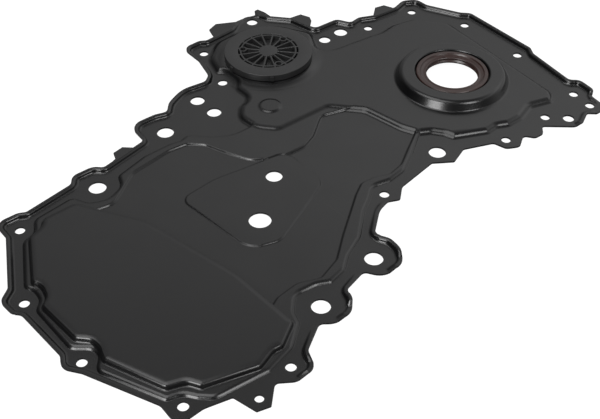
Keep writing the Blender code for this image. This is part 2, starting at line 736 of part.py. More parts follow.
def access_plug(surface, ring_surface):
    """The twist-in plug: a ribbed disc, a spigot with bayonet lugs, and its O-ring in a groove."""
    edge = PLUG_DIAMETER / 2
    field = PLUG_FIELD / 2
    spigot = PLUG_SPIGOT / 2
    top = PLUG_HEIGHT
    floor = top - PLUG_POCKET_DEPTH
    ring_radius = spigot + CLEARANCE + O_RING_WIRE / 2
    groove = ring_radius + O_RING_WIRE / 2 + CLEARANCE
    groove_top = O_RING_WIRE + 2 * CLEARANCE
    profile = [
        (0, top),
        (edge - PLUG_EDGE, top),
        (edge, top - PLUG_EDGE),
        (edge, CLEARANCE),
        (groove, CLEARANCE),
        (groove, groove_top),
        (spigot, groove_top),
        (spigot, -PLUG_SPIGOT_DEPTH),
        (spigot - PLUG_WALL, -PLUG_SPIGOT_DEPTH),
        (spigot - PLUG_WALL, floor - PLUG_WALL),
        (0, floor - PLUG_WALL),
    ]
    place = (*PLUG, SHEET + CRANK_HEIGHT + PLUG_SEAT_HEIGHT)
    plug = turned("access_plug", profile, surface, place, closed=False)
    pockets = bmesh.new()
    slots = field - PLUG_SLOT
    for k in range(PLUG_RIBS):
        middle = (k + 0.5) * 2 * math.pi / PLUG_RIBS
        half = math.pi / PLUG_RIBS - PLUG_RIB_WALL / PLUG_FIELD
        wide = slots - PLUG_RING_WALL
        ring_sector(pockets, PLUG_HUB / 2, wide, middle - half, middle + half, floor, top + 1, 3)
        ring_sector(pockets, slots, field, middle - half, middle + half, floor, top + 1, 3)
    cutter = helper("plug_pockets", pockets)
    cutter.location = plug.location
    walls = plug_sockets("plug_socket_walls", PLUG_SOCKET_WALL / 2, floor - 1, top + 2)
    walls.location = plug.location
    boolean(cutter, walls, "DIFFERENCE")
    boolean(plug, cutter, "DIFFERENCE")
    holes = plug_sockets("plug_socket_holes", PLUG_SOCKET_HOLE / 2, floor + 0.5, top + 1)
    holes.location = plug.location
    boolean(plug, holes, "DIFFERENCE")
    lugs = bmesh.new()
    lug_top = -SHEET - CLEARANCE
    low = -PLUG_SPIGOT_DEPTH + 0.5
    reach = spigot + PLUG_LUG_REACH
    for k in range(PLUG_LUGS):
        middle = k * 2 * math.pi / PLUG_LUGS
        start = middle - PLUG_LUG_ANGLE / 2
        ring_sector(lugs, spigot - 1, reach, start, start + PLUG_LUG_ANGLE, low, lug_top, 4)
    for a in PLUG_TONGUES:
        half = PLUG_TONGUE_WIDTH / 2 / edge
        ring_sector(lugs, edge - 1, edge + PLUG_TONGUE_REACH, a - half, a + half, 1, top - 1, 2)
    lug_shape = helper("plug_lugs", lugs)
    lug_shape.location = plug.location
    boolean(plug, lug_shape, "UNION")
    ring_place = (place[0], place[1], place[2] + CLEARANCE + O_RING_WIRE / 2)
    wire_ring("plug_o_ring", ring_radius, O_RING_WIRE, ring_surface, ring_place)


def centre_on_footprint():
    """Moves every object so that the origin lies at the middle of the part's footprint."""
    bpy.context.view_layer.update()
    sheet = bpy.data.objects["cover_pressing"]
    places = np.array([sheet.matrix_world @ v.co for v in sheet.data.vertices])
    middle = Vector((*(places.min(0) + places.max(0))[:2] / 2, 0))
    for made in bpy.data.objects:
        made.location -= middle
    print("crank axis at", [round(-v / MM, 3) for v in middle])


def main():
    for old in list(bpy.data.objects):
        bpy.data.objects.remove(old)
    for name in ("timing_cover", "cutters"):
        made = bpy.data.collections.new(name)
        bpy.context.scene.collection.children.link(made)
    bpy.data.collections["cutters"].hide_render = True
    pressed_sheet()
    crank_seal(
        material("seal_rubber", SEAL_RUBBER, 0.5, 0.0), material("spring_steel", SPRING_STEEL, 0.3, 1.0)
    )
    access_plug(
        material("plug_plastic", PLUG_PLASTIC, 0.45, 0.0), material("o_ring_rubber", O_RING_RUBBER, 0.6, 0.0)
    )
    centre_on_footprint()


main()
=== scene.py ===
"""Timing cover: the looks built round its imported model, laid out as an add-on of one operator for each piece.

Sizes are in millimetres until a mesh is written, and plan places are measured from the crankshaft's axis.
Meshes, the panel's sizes and the lamps are in metres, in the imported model's own frame.
"""

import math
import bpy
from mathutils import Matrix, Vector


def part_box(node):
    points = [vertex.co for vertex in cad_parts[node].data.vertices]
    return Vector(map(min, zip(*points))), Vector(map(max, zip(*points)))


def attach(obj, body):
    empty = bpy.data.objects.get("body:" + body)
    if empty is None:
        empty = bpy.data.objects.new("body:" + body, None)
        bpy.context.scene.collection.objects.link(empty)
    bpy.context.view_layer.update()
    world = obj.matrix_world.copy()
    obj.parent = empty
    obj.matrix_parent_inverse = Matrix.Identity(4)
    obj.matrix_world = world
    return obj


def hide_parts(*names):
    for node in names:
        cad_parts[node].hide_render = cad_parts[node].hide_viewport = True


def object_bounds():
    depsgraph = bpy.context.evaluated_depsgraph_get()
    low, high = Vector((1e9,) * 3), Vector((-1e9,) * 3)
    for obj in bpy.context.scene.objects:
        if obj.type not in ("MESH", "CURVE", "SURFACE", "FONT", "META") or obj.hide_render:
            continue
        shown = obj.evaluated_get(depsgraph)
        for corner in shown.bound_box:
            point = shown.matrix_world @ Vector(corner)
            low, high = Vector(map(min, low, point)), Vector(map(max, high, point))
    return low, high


bl_info = {
    "name": "Timing Cover",
    "version": (1, 0, 0),
    "blender": (4, 5, 0),
    "location": "3D Viewport > Sidebar > Timing Cover",
    "description": "Builds a pressed steel timing cover with its shaft seal and access plug",
    "category": "Add Mesh",
}

import bmesh
import bpy
import numpy as np
from bpy.props import FloatProperty, FloatVectorProperty, IntProperty, PointerProperty
from mathutils import Matrix, Vector
from mathutils.geometry import delaunay_2d_cdt

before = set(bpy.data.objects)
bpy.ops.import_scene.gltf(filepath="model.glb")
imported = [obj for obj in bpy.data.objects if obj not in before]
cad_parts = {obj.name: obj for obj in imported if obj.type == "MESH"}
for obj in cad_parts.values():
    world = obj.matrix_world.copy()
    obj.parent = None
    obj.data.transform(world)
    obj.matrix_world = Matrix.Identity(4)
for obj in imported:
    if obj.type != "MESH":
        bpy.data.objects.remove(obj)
CAD_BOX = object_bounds()

MM = 0.001
SEAL_LOW, SEAL_HIGH = (Vector(corner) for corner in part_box("crank_seal"))
PLUG_LOW, PLUG_HIGH = (Vector(corner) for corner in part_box("access_plug"))
AXIS = (SEAL_LOW + SEAL_HIGH) / 2

# The sheet. Heights are of the outer face above the flange's outer face. A bend's radii are named
# FOOT_RADIUS, CREST_RADIUS or, where one value is both, BEND_RADIUS. The other radii are in plan.
SHEET = 1.5
WALL_ANGLE = math.radians(72)
TIGHT_FOOT_RADIUS = 0.3
SHALLOW_BEND_RADIUS = 1.5
RIM_HEIGHT = 3.0
RIM_LIP = 1.2
RIM_BEND_RADIUS = 2.0
LEDGE_HEIGHT = 1.8
LEDGE_FOOT_RADIUS = 0.6
LEDGE_CREST_RADIUS = 4.0
POCKET_HEIGHT = 0.4
MIDDLE_SINK = 0.4
TRIANGLE_HEIGHT = 1.2
CAM_HEIGHT = 5.4
CAM_FOOT_RADIUS = 1.2
CAM_CREST_RADIUS = 1.6
SHOULDER_START = 1.5
SHOULDER_RISE = 0.7
SHOULDER_CREST_RADIUS = 16.0
CRANK_HEIGHT = 3.0
CRANK_FOOT_RADIUS = 4.5
CRANK_CREST_RADIUS = 5.7
BUMP = (55.5, 134.5)
BUMP_RADIUS = 10.0
BUMP_HEIGHT = 1.0
BUMP_BEND_RADIUS = 4.0
EDGE_ROUND = 0.25
EDGE_DROP = 0.15

# The shaft seal, its spring, its boss and its collar.
CRANK = (0.0, 0.0)
CLEARANCE = 0.3
SHAFT_BORE = 40.0
SEAL_OUTER = 56.0
SEAL_WIDTH = 8.0
SEAL_ROUND = 0.3
SPRING_WIRE = 1.6
SPRING_INSET = 2.15
SPRING_RISE = 2.9
BOSS_RADIUS = 45.5
BOSS_HEIGHT = 7.0
BOSS_ANGLE = math.radians(60)
BOSS_FOOT_RADIUS = 2.0
BOSS_CREST_RADIUS = 4.5
COLLAR_DEPTH = 8.5
COLLAR_ANGLE = math.radians(86)
COLLAR_CREST_RADIUS = 1.2

# The access plug, its O-ring and its seat.
PLUG = (108.5, 98.0)
PLUG_SEAT_RADIUS = 44.5
PLUG_SEAT_HEIGHT = 1.6
SEAT_BEND_RADIUS = 20.0
PLUG_SPIGOT = 52.0
PLUG_WALL = 2.0
PLUG_DRAFT = 0.2
PLUG_ROUND = 0.35
PLUG_LUGS = 3
PLUG_LUG_REACH = 3.0
PLUG_LUG_ANGLE = math.radians(24)
LUG_SLOT_MARGIN = math.radians(3)
LUG_RISE = 0.5
O_RING_WIRE = 2.6
RING_INSET = 1.5
SOCKETS = 3
SOCKET_RADIUS = 20.3
SOCKET_HOLE = 4.4
SOCKET_WALL = 6.6
SOCKET_TURN = math.radians(48)
TONGUES = (math.radians(91), math.radians(149))
TONGUE_REACH = 1.2
TONGUE_WIDTH = 3.0
TONGUE_MARGIN = 1.0

# How far the plug's details reach into its body, how far their tops lie under its face, and their bevel.
ROOT_DEPTH = 1.0
DETAIL_SINK = 0.5
RIB_TOP_GAP = 0.02
POST_TOP_GAP = 0.03
DETAIL_BEVEL = 0.12
BORE_MARGIN = 1.0

# Sides of round forms.
ARC_STEP = math.radians(10)
ROUND_SIDES = 120
LUG_HOLE_SIDES = 144
BUMP_SIDES = 40
WIRE_SIDES = 16
POST_SIDES = 32
LARGE_HOLE = 8
LARGE_HOLE_SIDES = 32
SMALL_HOLE_SIDES = 24

# Limits: the share of a side that a round corner may take up in plan and in a profile, how much a tight
# corner stretches an inset, the share of an inset's distance that a point has to keep, the gap under which
# points are joined, the furthest that a hole reaches from its middle, and a radius that counts as none.
PLAN_SIDE_SHARE = 0.48
PROFILE_SIDE_SHARE = 0.45
MOST_STRETCH = 2
INSET_SHARE = 0.97
JOIN_GAP = 0.02
HOLE_REACH = 40
NO_RADIUS = 1e-6

# The photograph's camera: focal length and width in pixels, tilt, place from the crankshaft's axis and the
# flange's outer face, and the directions ahead of it and to its right in plan.
FOCAL_PIXELS = 1118
PHOTO_WIDTH = 600
SENSOR_WIDTH = 36.0
CAMERA_TILT = math.radians(41.8)
CAMERA_PLACE = Vector((-503.3, 525.8, 508.6))
AHEAD = Vector((0.7997, -0.6004, 0))
ASIDE = Vector((-0.6004, -0.7997, 0))

# The floor's half width and its depth under the part in metres, its glow, the share of the glow that glossy
# rays see, and its paper's two greys and grain.
FLOOR_REACH = 6.0
FLOOR_GAP = 0.0004
FLOOR_GLOW = 0.95
FLOOR_IN_GLOSS = 0.08
PAPER_GREYS = (0.13, 0.12)
PAPER_GRAIN_MM = 1.5

# Lamps: name, degrees to the right of the camera's side, degrees up, distance, width, height, level.
LAMPS = [
    ("top_softbox", -75, 74, 1.6, 1.3, 1.0, 3.2),
    ("left_softbox", -34, 32, 1.7, 0.75, 0.9, 11.0),
    ("right_softbox", 46, 42, 1.8, 0.6, 0.9, 7.5),
]

# The sky's level by how steeply a direction looks up, as its sine. On the camera's side it falls to the
# share SKY_NEAR, at a rate of SKY_SLOPE, and it grows to the camera's right by SKY_SIDE.
SKY_LEVELS = [(0.0, 0.4), (0.5, 0.47), (0.64, 0.99), (0.68, 0.97), (0.75, 0.55), (0.95, 0.13)]
SKY_NEAR = 0.15
SKY_SLOPE = 1.2
SKY_SIDE = 1.1

# Outputs of a Texture Coordinate node.
GENERATED = 0
OBJECT = 3

# Bolt holes: x, y, diameter.
HOLES = [
    (46.5, 347.0, 7.0), (-16.0, 375.0, 7.0), (-80.0, 369.5, 7.0), (-143.5, 339.0, 7.0),
    (-165.0, 301.0, 5.8), (-157.0, 272.5, 7.0), (-129.0, 228.5, 12.6), (-116.0, 175.0, 12.6),
    (-71.5, 128.5, 7.0), (-59.0, 68.0, 12.6), (-78.5, 18.0, 7.0), (-76.5, -25.0, 7.0),
    (-88.0, -38.0, 8.4), (-86.5, -63.0, 7.0), (-69.0, -64.0, 7.0), (-5.0, -67.5, 7.0),
    (53.0, -64.0, 7.0), (95.0, -42.0, 7.0), (98.0, 3.5, 7.0), (107.0, 25.5, 11.0), (106.0, 43.0, 9.5),
    (163.5, 75.5, 9.0), (148.5, 133.5, 7.0), (106.0, 144.0, 7.5), (98.0, 172.5, 11.0),
    (78.0, 170.5, 11.0), (79.0, 213.0, 12.6), (54.0, 284.0, 12.6), (-42.5, 213.5, 15.6),
    (-11.0, 179.0, 12.0),
]

# Trimmed edge of the sheet, anticlockwise: x, y, corner radius, share of the rim's height.
EDGE = [
    (-153.5, 349.0, 10, 0), (-151.5, 330.5, 15, 0), (-155.0, 312.5, 1.5, 0), (-171.5, 307.5, 1, 0),
    (-173.5, 298.5, 1, 0), (-161.0, 287.0, 3, 0), (-167.5, 276.5, 9, 0), (-168.0, 261.5, 9, 0.6),
    (-155.0, 258.5, 8, 1), (-139.5, 238.0, 4, 0), (-145.0, 230.5, 12, 0), (-145.5, 217.0, 14, 0.4),
    (-137.0, 209.5, 12, 1), (-129.0, 208.0, 5, 0.8), (-121.0, 188.0, 4, 0), (-131.5, 180.5, 12, 0),
    (-132.5, 163.5, 14, 0.6), (-121.0, 156.5, 14, 1), (-110.0, 156.0, 10, 1), (-104.5, 159.5, 4, 1),
    (-99.0, 160.0, 5, 0.8), (-82.5, 142.0, 20, 0.2), (-78.5, 131.5, 4, 0), (-82.0, 123.0, 2.5, 0),
    (-72.5, 113.0, 6, 0), (-65.5, 79.0, 2, 0), (-74.0, 65.0, 2, 0), (-67.5, 50.0, 3, 0),
    (-75.5, 27.5, 4, 0), (-85.5, 24.5, 5, 0), (-90.0, 15.0, 5, 0), (-82.5, 4.0, 3, 0),
    (-89.5, -1.5, 4, 0), (-89.5, -9.5, 4, 0), (-82.5, -15.5, 2.5, 0), (-97.5, -34.5, 8, 0),
    (-99.0, -41.5, 6, 0.4), (-93.5, -52.0, 3, 0.6), (-96.5, -60.5, 4, 0), (-96.0, -72.5, 9, 0),
    (-80.5, -71.5, 3, 0.4), (-77.0, -77.5, 7, 1), (-61.5, -78.5, 7, 1), (-56.5, -72.0, 5, 1),
    (-14.0, -76.0, 6, 1), (-7.0, -80.0, 6, 1), (60.5, -77.5, 6, 1), (66.5, -71.0, 8, 1),
    (92.5, -56.5, 8, 1), (104.5, -55.5, 8, 1), (110.0, -44.5, 8, 1), (106.0, -32.5, 3, 1),
    (107.0, -10.0, 4, 1), (112.0, 2.5, 8, 1), (110.0, 12.5, 4, 1), (121.0, 19.0, 6, 1),
    (121.0, 41.5, 5, 1), (144.5, 47.5, 6, 1), (159.0, 61.5, 5, 1), (167.5, 65.0, 5, 0.5),
    (173.5, 74.5, 8, 0), (170.0, 87.5, 8, 0.5), (162.5, 97.0, 8, 1), (159.5, 123.5, 5, 1),
    (162.5, 128.5, 6, 1), (161.5, 146.0, 10, 1), (141.0, 143.5, 8, 0.6), (120.0, 148.0, 12, 0.6),
    (112.0, 155.5, 6, 1), (114.0, 176.5, 25, 1), (105.5, 193.5, 20, 1), (96.5, 200.5, 4, 1),
    (99.0, 210.0, 12, 1), (98.5, 232.0, 16, 1), (77.0, 232.5, 4, 1), (67.5, 271.0, 4, 1),
    (73.0, 277.0, 11, 1), (72.5, 293.5, 11, 1), (65.0, 298.5, 5, 1), (57.5, 336.5, 4, 1),
    (60.0, 341.5, 8, 1), (59.5, 359.0, 10.5, 1), (43.0, 358.5, 5, 1), (-1.0, 378.5, 5, 1),
    (-8.5, 387.5, 8, 1), (-22.0, 386.0, 8, 1), (-25.0, 381.5, 5, 0.8), (-68.0, 377.5, 6, 0.4),
    (-78.0, 382.0, 8, 0.4), (-87.5, 373.5, 6, 0.2), (-135.0, 349.0, 7, 0),
]

# Small flat tabs left by the press tool, outside the rim, each from edge to edge.
TABS = [
    [(69.0, 264.0), (71.0, 259.5), (77.5, 257.5), (79.5, 249.0), (74.0, 242.5), (72.0, 246.0)],
    [(105.0, -31.0), (114.0, -27.0), (115.5, -18.5), (107.5, -10.0), (105.0, -12.0)],
    [(126.5, 44.5), (128.0, 41.0), (132.0, 37.0), (137.0, 35.0), (145.0, 38.5), (146.0, 52.0)],
    [(158.0, 60.5), (167.5, 59.5), (175.0, 61.5), (175.5, 64.5), (167.5, 69.5), (162.0, 68.0)],
    [(158.5, 91.0), (164.0, 86.5), (170.0, 87.0), (175.4, 104.0), (171.5, 113.0), (157.0, 116.5)],
]

# Feet of the raised and sunk panels, in order round each one: x, y, corner radius.
LEDGE = [
    (-153.5, 284.0, 8), (-151.5, 322.0, 8), (-144.5, 330.2, 8), (-138.0, 335.2, 8), (-135.5, 345.3, 5),
    (-91.9, 367.3, 8), (-81.5, 359.0, 9), (-75.0, 361.0, 9), (-67.5, 371.0, 8), (-26.0, 373.0, 9),
    (-20.5, 366.5, 9), (-11.0, 366.0, 9), (-5.0, 370.0, 9), (35.0, 351.0, 9), (38.0, 341.0, 9),
    (50.0, 335.5, 9), (55.0, 303.0, 6), (43.0, 297.0, 10), (38.5, 284.5, 12), (44.5, 271.0, 10),
    (56.0, 267.0, 6), (64.0, 240.0, 10), (65.0, 218.0, 10), (63.5, 210.0, 5), (66.5, 202.0, 6),
    (54.5, 190.0, 20), (46.5, 176.0, 20), (47.5, 140.0, 5), (30.0, 70.0, 5), (-33.0, 60.0, 5),
    (-51.0, 84.0, 20), (-62.0, 101.0, 12), (-64.5, 116.0, 8), (-62.0, 130.0, 8), (-70.0, 139.0, 10),
    (-77.5, 150.0, 15), (-96.0, 169.0, 15), (-105.0, 186.0, 15), (-114.5, 197.0, 10), (-118.0, 211.0, 6),
    (-114.0, 220.5, 9), (-113.0, 235.5, 9), (-124.0, 244.5, 9), (-133.0, 247.0, 6), (-147.0, 263.0, 10),
]
POCKET = [
    (-118.0, 262.0, 5), (-109.0, 246.0, 8), (-106.5, 229.0, 10), (-112.0, 214.0, 8), (-104.5, 195.0, 12),
    (-88.5, 177.0, 30), (-62.0, 144.5, 20), (-55.0, 134.0, 6), (-55.5, 124.0, 6), (-59.5, 112.0, 8),
    (-56.0, 98.0, 15), (-45.0, 82.0, 20), (-28.0, 56.0, 5), (14.0, 60.0, 5), (26.0, 110.0, 10),
    (10.0, 129.5, 12), (4.0, 142.0, 15), (4.0, 164.0, 12), (14.0, 181.0, 15), (32.0, 190.5, 20),
    (48.5, 197.5, 12), (57.5, 208.0, 10), (58.5, 224.0, 20), (52.5, 258.0, 12), (42.0, 271.5, 12),
    (32.0, 284.5, 12), (36.0, 310.0, 5), (-60.0, 300.0, 5),
]
MIDDLE = [
    (-41.0, 171.5, 6), (-60.0, 167.5, 10), (-90.0, 164.5, 4), (-72.0, 120.0, 4), (-50.0, 50.0, 4),
    (40.0, 50.0, 4), (12.0, 176.0, 4),
]
TRIANGLE = [
    (-62.0, 235.5, 16), (8.5, 246.0, 9), (12.5, 215.0, 30), (6.5, 154.5, 12), (-37.0, 153.5, 14),
    (-68.0, 214.0, 14),
]
CAM_PLATEAU = [
    (-133.0, 250.5, 6), (-145.5, 268.5, 6), (-145.2, 275.5, 8), (-150.8, 288.5, 8), (-142.0, 325.5, 5),
    (-134.0, 330.5, 8), (-130.5, 342.5, 6), (-89.5, 361.2, 6), (-79.5, 358.3, 9), (-72.5, 358.8, 9),
    (-65.5, 366.5, 8), (-27.5, 370.3, 7), (-23.0, 363.8, 8), (-12.5, 362.0, 8), (-7.0, 366.0, 7),
    (33.5, 347.7, 8), (38.0, 336.0, 9), (44.5, 332.0, 8), (46.0, 305.0, 8), (30.0, 295.0, 25),
    (1.0, 275.0, 40), (-78.0, 254.5, 60),
]
CRANK_PLATEAU = [
    (-56.5, 49.6, 5), (-49.0, 52.6, 6), (-42.0, 58.6, 5), (-37.0, 68.2, 5), (-24.0, 74.6, 25),
    (8.0, 82.0, 8), (27.0, 100.5, 4), (26.0, 147.0, 12), (40.0, 160.5, 20), (60.0, 163.0, 16),
    (72.0, 153.5, 12), (76.0, 142.5, 8), (92.0, 143.5, 7), (98.5, 137.0, 7), (113.0, 137.5, 8),
    (118.0, 143.5, 6), (138.0, 138.0, 20), (155.5, 119.0, 25), (158.0, 91.0, 25), (146.0, 61.0, 20),
    (119.0, 45.0, 12), (104.0, 51.5, 7), (96.0, 55.0, 7), (90.5, 47.0, 10), (88.0, 10.0, 12),
    (86.5, 1.0, 10), (89.5, -14.0, 12), (86.0, -36.0, 12), (62.0, -55.5, 10), (30.0, -55.0, 20),
    (-60.0, -52.5, 14), (-69.0, -43.0, 6), (-66.5, -34.0, 5), (-64.0, -24.5, 6), (-70.0, -9.0, 6),
    (-70.3, 5.0, 6), (-66.4, 14.0, 5), (-67.4, 23.5, 6),
]


def bend_slope(height, foot, crest, angle):
    """Slope of a bent step's wall, less than the given angle where the step is too low for it."""
    if height >= (foot + crest) * (1 - math.cos(angle)):
        return angle
    return math.acos(1 - height / (foot + crest))


def bend_run(height, foot, crest, angle):
    """Plan width of a bent step: an arc, a straight wall and an arc."""
    slope = bend_slope(height, foot, crest, angle)
    straight = (height - (foot + crest) * (1 - math.cos(slope))) / math.sin(slope)
    return (foot + crest) * math.sin(slope) + straight * math.cos(slope)


def bend_rows(height, foot, crest, angle, count=4):
    """Distances inside the foot at which a bent step has a row of points, at even turns of its two arcs."""
    slope = bend_slope(height, foot, crest, angle)
    run = bend_run(height, foot, crest, angle)
    turns = [math.sin(slope * k / count) for k in range(count + 1)]
    return sorted({round(row, 4) for turn in turns for row in (foot * turn, run - crest * turn)})


def bend(distance, height, foot, crest, angle):
    """Height of a bent step at a distance inside its foot."""
    slope = bend_slope(height, foot, crest, angle)
    run = bend_run(height, foot, crest, angle)
    foot_run = foot * math.sin(slope)
    crest_run = crest * math.sin(slope)
    d = np.clip(distance, 0, run)
    low = foot - np.sqrt(foot**2 - np.minimum(d, foot_run) ** 2)
    high = height - crest + np.sqrt(crest**2 - np.minimum(run - d, crest_run) ** 2)
    wall = foot * (1 - math.cos(slope)) + (d - foot_run) * math.tan(slope)
    return np.where(d < foot_run, low, np.where(d > run - crest_run, high, wall))


def rounded(corners):
    """Points of a closed outline with round corners, anticlockwise, each with its corner's last value."""
    x, y = np.array(corners)[:, :2].T
    if np.roll(x, 1) @ y < np.roll(y, 1) @ x:
        corners = corners[::-1]
    points = []
    for i, corner in enumerate(corners):
        here = Vector(corner[:2])
        back = Vector(corners[i - 1][:2]) - here
        ahead = Vector(corners[(i + 1) % len(corners)][:2]) - here
        half = back.angle(ahead) / 2
        reach = min(corner[2] / math.tan(half), PLAN_SIDE_SHARE * min(back.length, ahead.length))
        middle = here + (back.normalized() + ahead.normalized()).normalized() * reach / math.cos(half)
        spoke = here + back.normalized() * reach - middle
        turn = math.copysign(math.pi - 2 * half, back.x * -ahead.y + back.y * ahead.x)
        steps = max(1, math.ceil(abs(turn) / ARC_STEP))
        for k in range(steps + 1):
            a = turn * k / steps
            x = middle.x + spoke.x * math.cos(a) - spoke.y * math.sin(a)
            y = middle.y + spoke.x * math.sin(a) + spoke.y * math.cos(a)
            points.append((x, y, corner[-1]))
    return np.array(points)


def circle(centre, radius, sides=ROUND_SIDES):
    """Points of a circle."""
    a = np.arange(sides) * 2 * math.pi / sides
    return np.stack([centre[0] + radius * np.cos(a), centre[1] + radius * np.sin(a)], 1)


def bolt_circle(x, y, diameter, wider=0):
    """Points of a bolt hole's edge, or of a circle wider by a distance all round."""
    sides = LARGE_HOLE_SIDES if diameter > LARGE_HOLE else SMALL_HOLE_SIDES
    return circle((x, y), diameter / 2 + wider, sides)


def plug_hole():
    """Outline of the plug's hole, with a slot that lets each bayonet lug through."""
    angles = np.arange(LUG_HOLE_SIDES) * 2 * math.pi / LUG_HOLE_SIDES
    in_slot = np.zeros(LUG_HOLE_SIDES, bool)
    for k in range(PLUG_LUGS):
        middle = (k + 0.5) * 2 * math.pi / PLUG_LUGS
        in_slot |= abs(angles - middle) < PLUG_LUG_ANGLE / 2 + LUG_SLOT_MARGIN
    return circle(PLUG, PLUG_HOLE_RADIUS + in_slot * PLUG_LUG_REACH, LUG_HOLE_SIDES)


def nearest(points, outline):
    """Distance of each point inside a closed outline, less than 0 outside, and the outline's value there."""
    best = np.full(len(points), np.inf)
    value = np.zeros(len(points))
    inside = np.zeros(len(points), bool)
    for a, b in zip(outline, np.roll(outline, -1, axis=0)):
        along = b[:2] - a[:2]
        t = np.clip((points - a[:2]) @ along / max(along @ along, 1e-12), 0, 1)
        gap = ((points - a[:2] - t[:, None] * along) ** 2).sum(1)
        value = np.where(gap < best, a[-1] + t * (b[-1] - a[-1]), value)
        best = np.minimum(best, gap)
        if a[1] != b[1]:
            spans = (a[1] > points[:, 1]) != (b[1] > points[:, 1])
            inside ^= spans & (points[:, 0] < a[0] + (points[:, 1] - a[1]) * along[0] / (b[1] - a[1]))
    best = np.sqrt(best)
    return np.where(inside, best, -best), value


def inset(outline, distance):
    """Points that lie a distance inside an outline, left out where its bends are too tight for them."""
    if distance == 0:
        return outline[:, :2]
    places = outline[:, :2]
    ahead = np.roll(places, -1, axis=0) - places
    ahead /= np.maximum(np.hypot(*ahead.T), 1e-9)[:, None]
    normal = np.stack([-ahead[:, 1], ahead[:, 0]], 1)
    both = normal + np.roll(normal, 1, axis=0)
    both /= np.maximum(np.hypot(*both.T), 1e-9)[:, None]
    stretch = 1 / np.maximum((both * normal).sum(1), 1 / MOST_STRETCH)
    moved = places + both * (distance * stretch)[:, None]
    return moved[nearest(moved, outline)[0] > INSET_SHARE * distance]


RIM_BEND = (RIM_HEIGHT, RIM_BEND_RADIUS, RIM_BEND_RADIUS, WALL_ANGLE)
BOSS_BEND = (BOSS_HEIGHT, BOSS_FOOT_RADIUS, BOSS_CREST_RADIUS, BOSS_ANGLE)
COLLAR_BEND = (COLLAR_DEPTH, TIGHT_FOOT_RADIUS, COLLAR_CREST_RADIUS, COLLAR_ANGLE)
COLLAR_ROWS = 6
MIDDLE_BEND = (MIDDLE_SINK, SHALLOW_BEND_RADIUS, SHALLOW_BEND_RADIUS, WALL_ANGLE)
SEAT_BEND = (PLUG_SEAT_HEIGHT, SEAT_BEND_RADIUS, SEAT_BEND_RADIUS, WALL_ANGLE)
SHOULDER_BEND = (SHOULDER_RISE, TIGHT_FOOT_RADIUS, SHOULDER_CREST_RADIUS, WALL_ANGLE)
BUMP_BEND = (BUMP_HEIGHT, BUMP_BEND_RADIUS, BUMP_BEND_RADIUS, WALL_ANGLE)
COLLAR_RADIUS = SEAL_OUTER / 2 + CLEARANCE
PLUG_HOLE_RADIUS = PLUG_SPIGOT / 2 + CLEARANCE


